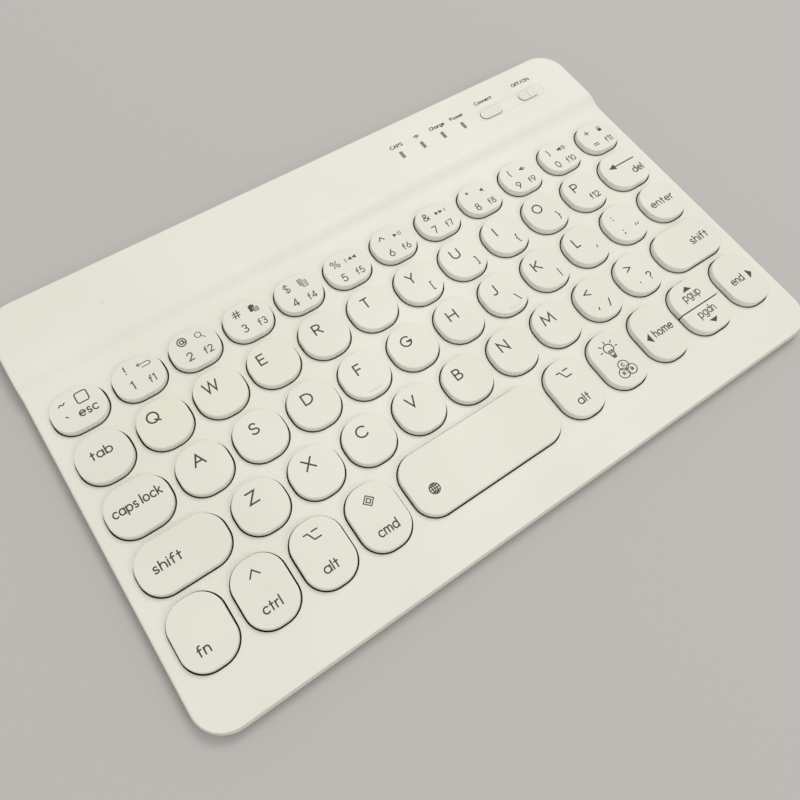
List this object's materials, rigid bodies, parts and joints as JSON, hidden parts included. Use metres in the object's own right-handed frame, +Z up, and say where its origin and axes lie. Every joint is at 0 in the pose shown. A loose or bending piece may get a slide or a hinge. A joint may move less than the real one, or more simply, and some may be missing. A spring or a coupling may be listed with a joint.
{
  "type": "tablet keyboard",
  "caption": "Slim wireless tablet keyboard with round-cornered keys on scissor lifts, a raised rear bar with connect button and power slider, and rubber feet.",
  "frame": {"origin": "on the table, under the middle of the body", "axes": "+X along the key rows to the right, +Y from the front edge to the rear bar, +Z up out of the keys"},
  "size_m": [0.24, 0.152, 0.0082],
  "materials": {
    "cover_plastic": "fine satin, warm white",
    "shell_plastic": "fine matt, light grey",
    "key_plastic": "fine satin, warm white with dark grey legends",
    "key_plastic_cream": "fine satin, slightly yellowed white",
    "control_plastic": "satin, warm white",
    "lens": "smoked translucent",
    "lift_plastic": "natural white",
    "dome_rubber": "translucent silicone",
    "membrane_film": "printed polyester film",
    "plate_steel": "zinc-plated sheet",
    "guide_sheet": "clear acrylic sheet",
    "circuit_board": "green solder mask",
    "battery_foil": "satin pouch foil",
    "foot_rubber": "matt"
  },
  "bodies": {
    "case": {"top_cover": "cover_plastic", "bottom_cover": "shell_plastic", "status_lenses": "lens", "scissor_lifts": "lift_plastic", "rubber_domes": "dome_rubber", "membrane": "membrane_film", "support_plate": "plate_steel", "light_guide": "guide_sheet", "control_board": "circuit_board", "battery": "battery_foil", "rubber_feet": "foot_rubber"},
    "number_row_keys": {"number_row_keys": "key_plastic"},
    "key_tab": {"key_tab": "key_plastic"},
    "key_q": {"key_q": "key_plastic_cream"},
    "key_w": {"key_w": "key_plastic_cream"},
    "key_e": {"key_e": "key_plastic_cream"},
    "key_r": {"key_r": "key_plastic"},
    "key_t": {"key_t": "key_plastic"},
    "key_y": {"key_y": "key_plastic"},
    "key_u": {"key_u": "key_plastic"},
    "key_i": {"key_i": "key_plastic"},
    "key_o": {"key_o": "key_plastic"},
    "key_p": {"key_p": "key_plastic"},
    "key_delete": {"key_delete": "key_plastic"},
    "key_caps_lock": {"key_caps_lock": "key_plastic"},
    "key_a": {"key_a": "key_plastic"},
    "key_s": {"key_s": "key_plastic"},
    "key_d": {"key_d": "key_plastic"},
    "key_f": {"key_f": "key_plastic"},
    "key_g": {"key_g": "key_plastic"},
    "key_h": {"key_h": "key_plastic"},
    "key_j": {"key_j": "key_plastic"},
    "key_k": {"key_k": "key_plastic"},
    "key_l": {"key_l": "key_plastic"},
    "key_semicolon": {"key_semicolon": "key_plastic"},
    "key_enter": {"key_enter": "key_plastic"},
    "key_shift_left": {"key_shift_left": "key_plastic"},
    "key_z": {"key_z": "key_plastic"},
    "key_x": {"key_x": "key_plastic"},
    "key_c": {"key_c": "key_plastic"},
    "key_v": {"key_v": "key_plastic"},
    "key_b": {"key_b": "key_plastic"},
    "key_n": {"key_n": "key_plastic"},
    "key_m": {"key_m": "key_plastic"},
    "key_comma": {"key_comma": "key_plastic"},
    "key_period": {"key_period": "key_plastic"},
    "key_shift_right": {"key_shift_right": "key_plastic"},
    "key_fn": {"key_fn": "key_plastic"},
    "key_ctrl": {"key_ctrl": "key_plastic"},
    "key_alt_left": {"key_alt_left": "key_plastic"},
    "key_meta": {"key_meta": "key_plastic"},
    "key_space": {"key_space": "key_plastic"},
    "key_alt_right": {"key_alt_right": "key_plastic"},
    "key_light": {"key_light": "key_plastic"},
    "key_home": {"key_home": "key_plastic"},
    "key_end": {"key_end": "key_plastic"},
    "key_page_up": {"key_page_up": "key_plastic"},
    "key_page_down": {"key_page_down": "key_plastic"},
    "connect_button": {"connect_button": "control_plastic"},
    "power_slider": {"power_slider": "control_plastic"}
  },
  "joints": [
    {"name": "number_row_key_press", "type": "slide", "parent": "case", "child": "number_row_keys", "axis": [0, 0, -1], "range_m": [0, 0.0016], "stiffness_N_per_m": 3600, "springref_m": -0.0006, "deforming": ["scissor_lifts", "rubber_domes"]},
    {"name": "key_tab_press", "type": "slide", "parent": "case", "child": "key_tab", "axis": [0, 0, -1], "range_m": [0, 0.0016], "stiffness_N_per_m": 300, "springref_m": -0.0006, "deforming": ["scissor_lifts", "rubber_domes"]},
    {"name": "key_q_press", "type": "slide", "parent": "case", "child": "key_q", "axis": [0, 0, -1], "range_m": [0, 0.0016], "stiffness_N_per_m": 300, "springref_m": -0.0006, "deforming": ["scissor_lifts", "rubber_domes"]},
    {"name": "key_w_press", "type": "slide", "parent": "case", "child": "key_w", "axis": [0, 0, -1], "range_m": [0, 0.0016], "stiffness_N_per_m": 300, "springref_m": -0.0006, "deforming": ["scissor_lifts", "rubber_domes"]},
    {"name": "key_e_press", "type": "slide", "parent": "case", "child": "key_e", "axis": [0, 0, -1], "range_m": [0, 0.0016], "stiffness_N_per_m": 300, "springref_m": -0.0006, "deforming": ["scissor_lifts", "rubber_domes"]},
    {"name": "key_r_press", "type": "slide", "parent": "case", "child": "key_r", "axis": [0, 0, -1], "range_m": [0, 0.0016], "stiffness_N_per_m": 300, "springref_m": -0.0006, "deforming": ["scissor_lifts", "rubber_domes"]},
    {"name": "key_t_press", "type": "slide", "parent": "case", "child": "key_t", "axis": [0, 0, -1], "range_m": [0, 0.0016], "stiffness_N_per_m": 300, "springref_m": -0.0006, "deforming": ["scissor_lifts", "rubber_domes"]},
    {"name": "key_y_press", "type": "slide", "parent": "case", "child": "key_y", "axis": [0, 0, -1], "range_m": [0, 0.0016], "stiffness_N_per_m": 300, "springref_m": -0.0006, "deforming": ["scissor_lifts", "rubber_domes"]},
    {"name": "key_u_press", "type": "slide", "parent": "case", "child": "key_u", "axis": [0, 0, -1], "range_m": [0, 0.0016], "stiffness_N_per_m": 300, "springref_m": -0.0006, "deforming": ["scissor_lifts", "rubber_domes"]},
    {"name": "key_i_press", "type": "slide", "parent": "case", "child": "key_i", "axis": [0, 0, -1], "range_m": [0, 0.0016], "stiffness_N_per_m": 300, "springref_m": -0.0006, "deforming": ["scissor_lifts", "rubber_domes"]},
    {"name": "key_o_press", "type": "slide", "parent": "case", "child": "key_o", "axis": [0, 0, -1], "range_m": [0, 0.0016], "stiffness_N_per_m": 300, "springref_m": -0.0006, "deforming": ["scissor_lifts", "rubber_domes"]},
    {"name": "key_p_press", "type": "slide", "parent": "case", "child": "key_p", "axis": [0, 0, -1], "range_m": [0, 0.0016], "stiffness_N_per_m": 300, "springref_m": -0.0006, "deforming": ["scissor_lifts", "rubber_domes"]},
    {"name": "key_delete_press", "type": "slide", "parent": "case", "child": "key_delete", "axis": [0, 0, -1], "range_m": [0, 0.0016], "stiffness_N_per_m": 300, "springref_m": -0.0006, "deforming": ["scissor_lifts", "rubber_domes"]},
    {"name": "key_caps_lock_press", "type": "slide", "parent": "case", "child": "key_caps_lock", "axis": [0, 0, -1], "range_m": [0, 0.0016], "stiffness_N_per_m": 300, "springref_m": -0.0006, "deforming": ["scissor_lifts", "rubber_domes"]},
    {"name": "key_a_press", "type": "slide", "parent": "case", "child": "key_a", "axis": [0, 0, -1], "range_m": [0, 0.0016], "stiffness_N_per_m": 300, "springref_m": -0.0006, "deforming": ["scissor_lifts", "rubber_domes"]},
    {"name": "key_s_press", "type": "slide", "parent": "case", "child": "key_s", "axis": [0, 0, -1], "range_m": [0, 0.0016], "stiffness_N_per_m": 300, "springref_m": -0.0006, "deforming": ["scissor_lifts", "rubber_domes"]},
    {"name": "key_d_press", "type": "slide", "parent": "case", "child": "key_d", "axis": [0, 0, -1], "range_m": [0, 0.0016], "stiffness_N_per_m": 300, "springref_m": -0.0006, "deforming": ["scissor_lifts", "rubber_domes"]},
    {"name": "key_f_press", "type": "slide", "parent": "case", "child": "key_f", "axis": [0, 0, -1], "range_m": [0, 0.0016], "stiffness_N_per_m": 300, "springref_m": -0.0006, "deforming": ["scissor_lifts", "rubber_domes"]},
    {"name": "key_g_press", "type": "slide", "parent": "case", "child": "key_g", "axis": [0, 0, -1], "range_m": [0, 0.0016], "stiffness_N_per_m": 300, "springref_m": -0.0006, "deforming": ["scissor_lifts", "rubber_domes"]},
    {"name": "key_h_press", "type": "slide", "parent": "case", "child": "key_h", "axis": [0, 0, -1], "range_m": [0, 0.0016], "stiffness_N_per_m": 300, "springref_m": -0.0006, "deforming": ["scissor_lifts", "rubber_domes"]},
    {"name": "key_j_press", "type": "slide", "parent": "case", "child": "key_j", "axis": [0, 0, -1], "range_m": [0, 0.0016], "stiffness_N_per_m": 300, "springref_m": -0.0006, "deforming": ["scissor_lifts", "rubber_domes"]},
    {"name": "key_k_press", "type": "slide", "parent": "case", "child": "key_k", "axis": [0, 0, -1], "range_m": [0, 0.0016], "stiffness_N_per_m": 300, "springref_m": -0.0006, "deforming": ["scissor_lifts", "rubber_domes"]},
    {"name": "key_l_press", "type": "slide", "parent": "case", "child": "key_l", "axis": [0, 0, -1], "range_m": [0, 0.0016], "stiffness_N_per_m": 300, "springref_m": -0.0006, "deforming": ["scissor_lifts", "rubber_domes"]},
    {"name": "key_semicolon_press", "type": "slide", "parent": "case", "child": "key_semicolon", "axis": [0, 0, -1], "range_m": [0, 0.0016], "stiffness_N_per_m": 300, "springref_m": -0.0006, "deforming": ["scissor_lifts", "rubber_domes"]},
    {"name": "key_enter_press", "type": "slide", "parent": "case", "child": "key_enter", "axis": [0, 0, -1], "range_m": [0, 0.0016], "stiffness_N_per_m": 300, "springref_m": -0.0006, "deforming": ["scissor_lifts", "rubber_domes"]},
    {"name": "key_shift_left_press", "type": "slide", "parent": "case", "child": "key_shift_left", "axis": [0, 0, -1], "range_m": [0, 0.0016], "stiffness_N_per_m": 300, "springref_m": -0.0006, "deforming": ["scissor_lifts", "rubber_domes"]},
    {"name": "key_z_press", "type": "slide", "parent": "case", "child": "key_z", "axis": [0, 0, -1], "range_m": [0, 0.0016], "stiffness_N_per_m": 300, "springref_m": -0.0006, "deforming": ["scissor_lifts", "rubber_domes"]},
    {"name": "key_x_press", "type": "slide", "parent": "case", "child": "key_x", "axis": [0, 0, -1], "range_m": [0, 0.0016], "stiffness_N_per_m": 300, "springref_m": -0.0006, "deforming": ["scissor_lifts", "rubber_domes"]},
    {"name": "key_c_press", "type": "slide", "parent": "case", "child": "key_c", "axis": [0, 0, -1], "range_m": [0, 0.0016], "stiffness_N_per_m": 300, "springref_m": -0.0006, "deforming": ["scissor_lifts", "rubber_domes"]},
    {"name": "key_v_press", "type": "slide", "parent": "case", "child": "key_v", "axis": [0, 0, -1], "range_m": [0, 0.0016], "stiffness_N_per_m": 300, "springref_m": -0.0006, "deforming": ["scissor_lifts", "rubber_domes"]},
    {"name": "key_b_press", "type": "slide", "parent": "case", "child": "key_b", "axis": [0, 0, -1], "range_m": [0, 0.0016], "stiffness_N_per_m": 300, "springref_m": -0.0006, "deforming": ["scissor_lifts", "rubber_domes"]},
    {"name": "key_n_press", "type": "slide", "parent": "case", "child": "key_n", "axis": [0, 0, -1], "range_m": [0, 0.0016], "stiffness_N_per_m": 300, "springref_m": -0.0006, "deforming": ["scissor_lifts", "rubber_domes"]},
    {"name": "key_m_press", "type": "slide", "parent": "case", "child": "key_m", "axis": [0, 0, -1], "range_m": [0, 0.0016], "stiffness_N_per_m": 300, "springref_m": -0.0006, "deforming": ["scissor_lifts", "rubber_domes"]},
    {"name": "key_comma_press", "type": "slide", "parent": "case", "child": "key_comma", "axis": [0, 0, -1], "range_m": [0, 0.0016], "stiffness_N_per_m": 300, "springref_m": -0.0006, "deforming": ["scissor_lifts", "rubber_domes"]},
    {"name": "key_period_press", "type": "slide", "parent": "case", "child": "key_period", "axis": [0, 0, -1], "range_m": [0, 0.0016], "stiffness_N_per_m": 300, "springref_m": -0.0006, "deforming": ["scissor_lifts", "rubber_domes"]},
    {"name": "key_shift_right_press", "type": "slide", "parent": "case", "child": "key_shift_right", "axis": [0, 0, -1], "range_m": [0, 0.0016], "stiffness_N_per_m": 300, "springref_m": -0.0006, "deforming": ["scissor_lifts", "rubber_domes"]},
    {"name": "key_fn_press", "type": "slide", "parent": "case", "child": "key_fn", "axis": [0, 0, -1], "range_m": [0, 0.0016], "stiffness_N_per_m": 300, "springref_m": -0.0006, "deforming": ["scissor_lifts", "rubber_domes"]},
    {"name": "key_ctrl_press", "type": "slide", "parent": "case", "child": "key_ctrl", "axis": [0, 0, -1], "range_m": [0, 0.0016], "stiffness_N_per_m": 300, "springref_m": -0.0006, "deforming": ["scissor_lifts", "rubber_domes"]},
    {"name": "key_alt_left_press", "type": "slide", "parent": "case", "child": "key_alt_left", "axis": [0, 0, -1], "range_m": [0, 0.0016], "stiffness_N_per_m": 300, "springref_m": -0.0006, "deforming": ["scissor_lifts", "rubber_domes"]},
    {"name": "key_meta_press", "type": "slide", "parent": "case", "child": "key_meta", "axis": [0, 0, -1], "range_m": [0, 0.0016], "stiffness_N_per_m": 300, "springref_m": -0.0006, "deforming": ["scissor_lifts", "rubber_domes"]},
    {"name": "key_space_press", "type": "slide", "parent": "case", "child": "key_space", "axis": [0, 0, -1], "range_m": [0, 0.0016], "stiffness_N_per_m": 300, "springref_m": -0.0006, "deforming": ["scissor_lifts", "rubber_domes"]},
    {"name": "key_alt_right_press", "type": "slide", "parent": "case", "child": "key_alt_right", "axis": [0, 0, -1], "range_m": [0, 0.0016], "stiffness_N_per_m": 300, "springref_m": -0.0006, "deforming": ["scissor_lifts", "rubber_domes"]},
    {"name": "key_light_press", "type": "slide", "parent": "case", "child": "key_light", "axis": [0, 0, -1], "range_m": [0, 0.0016], "stiffness_N_per_m": 300, "springref_m": -0.0006, "deforming": ["scissor_lifts", "rubber_domes"]},
    {"name": "key_home_press", "type": "slide", "parent": "case", "child": "key_home", "axis": [0, 0, -1], "range_m": [0, 0.0016], "stiffness_N_per_m": 300, "springref_m": -0.0006, "deforming": ["scissor_lifts", "rubber_domes"]},
    {"name": "key_end_press", "type": "slide", "parent": "case", "child": "key_end", "axis": [0, 0, -1], "range_m": [0, 0.0016], "stiffness_N_per_m": 300, "springref_m": -0.0006, "deforming": ["scissor_lifts", "rubber_domes"]},
    {"name": "key_page_up_press", "type": "slide", "parent": "case", "child": "key_page_up", "axis": [0, 0, -1], "range_m": [0, 0.0016], "stiffness_N_per_m": 300, "springref_m": -0.0006, "deforming": ["scissor_lifts", "rubber_domes"]},
    {"name": "key_page_down_press", "type": "slide", "parent": "case", "child": "key_page_down", "axis": [0, 0, -1], "range_m": [0, 0.0016], "stiffness_N_per_m": 300, "springref_m": -0.0006, "deforming": ["scissor_lifts", "rubber_domes"]},
    {"name": "connect_button_press", "type": "slide", "parent": "case", "child": "connect_button", "axis": [0, 0, -1], "range_m": [0, 0.00035], "stiffness_N_per_m": 1500, "springref_m": -0.0002},
    {"name": "power_slider_slide", "type": "slide", "parent": "case", "child": "power_slider", "axis": [1, 0, 0], "range_m": [0, 0.002]}
  ]
}
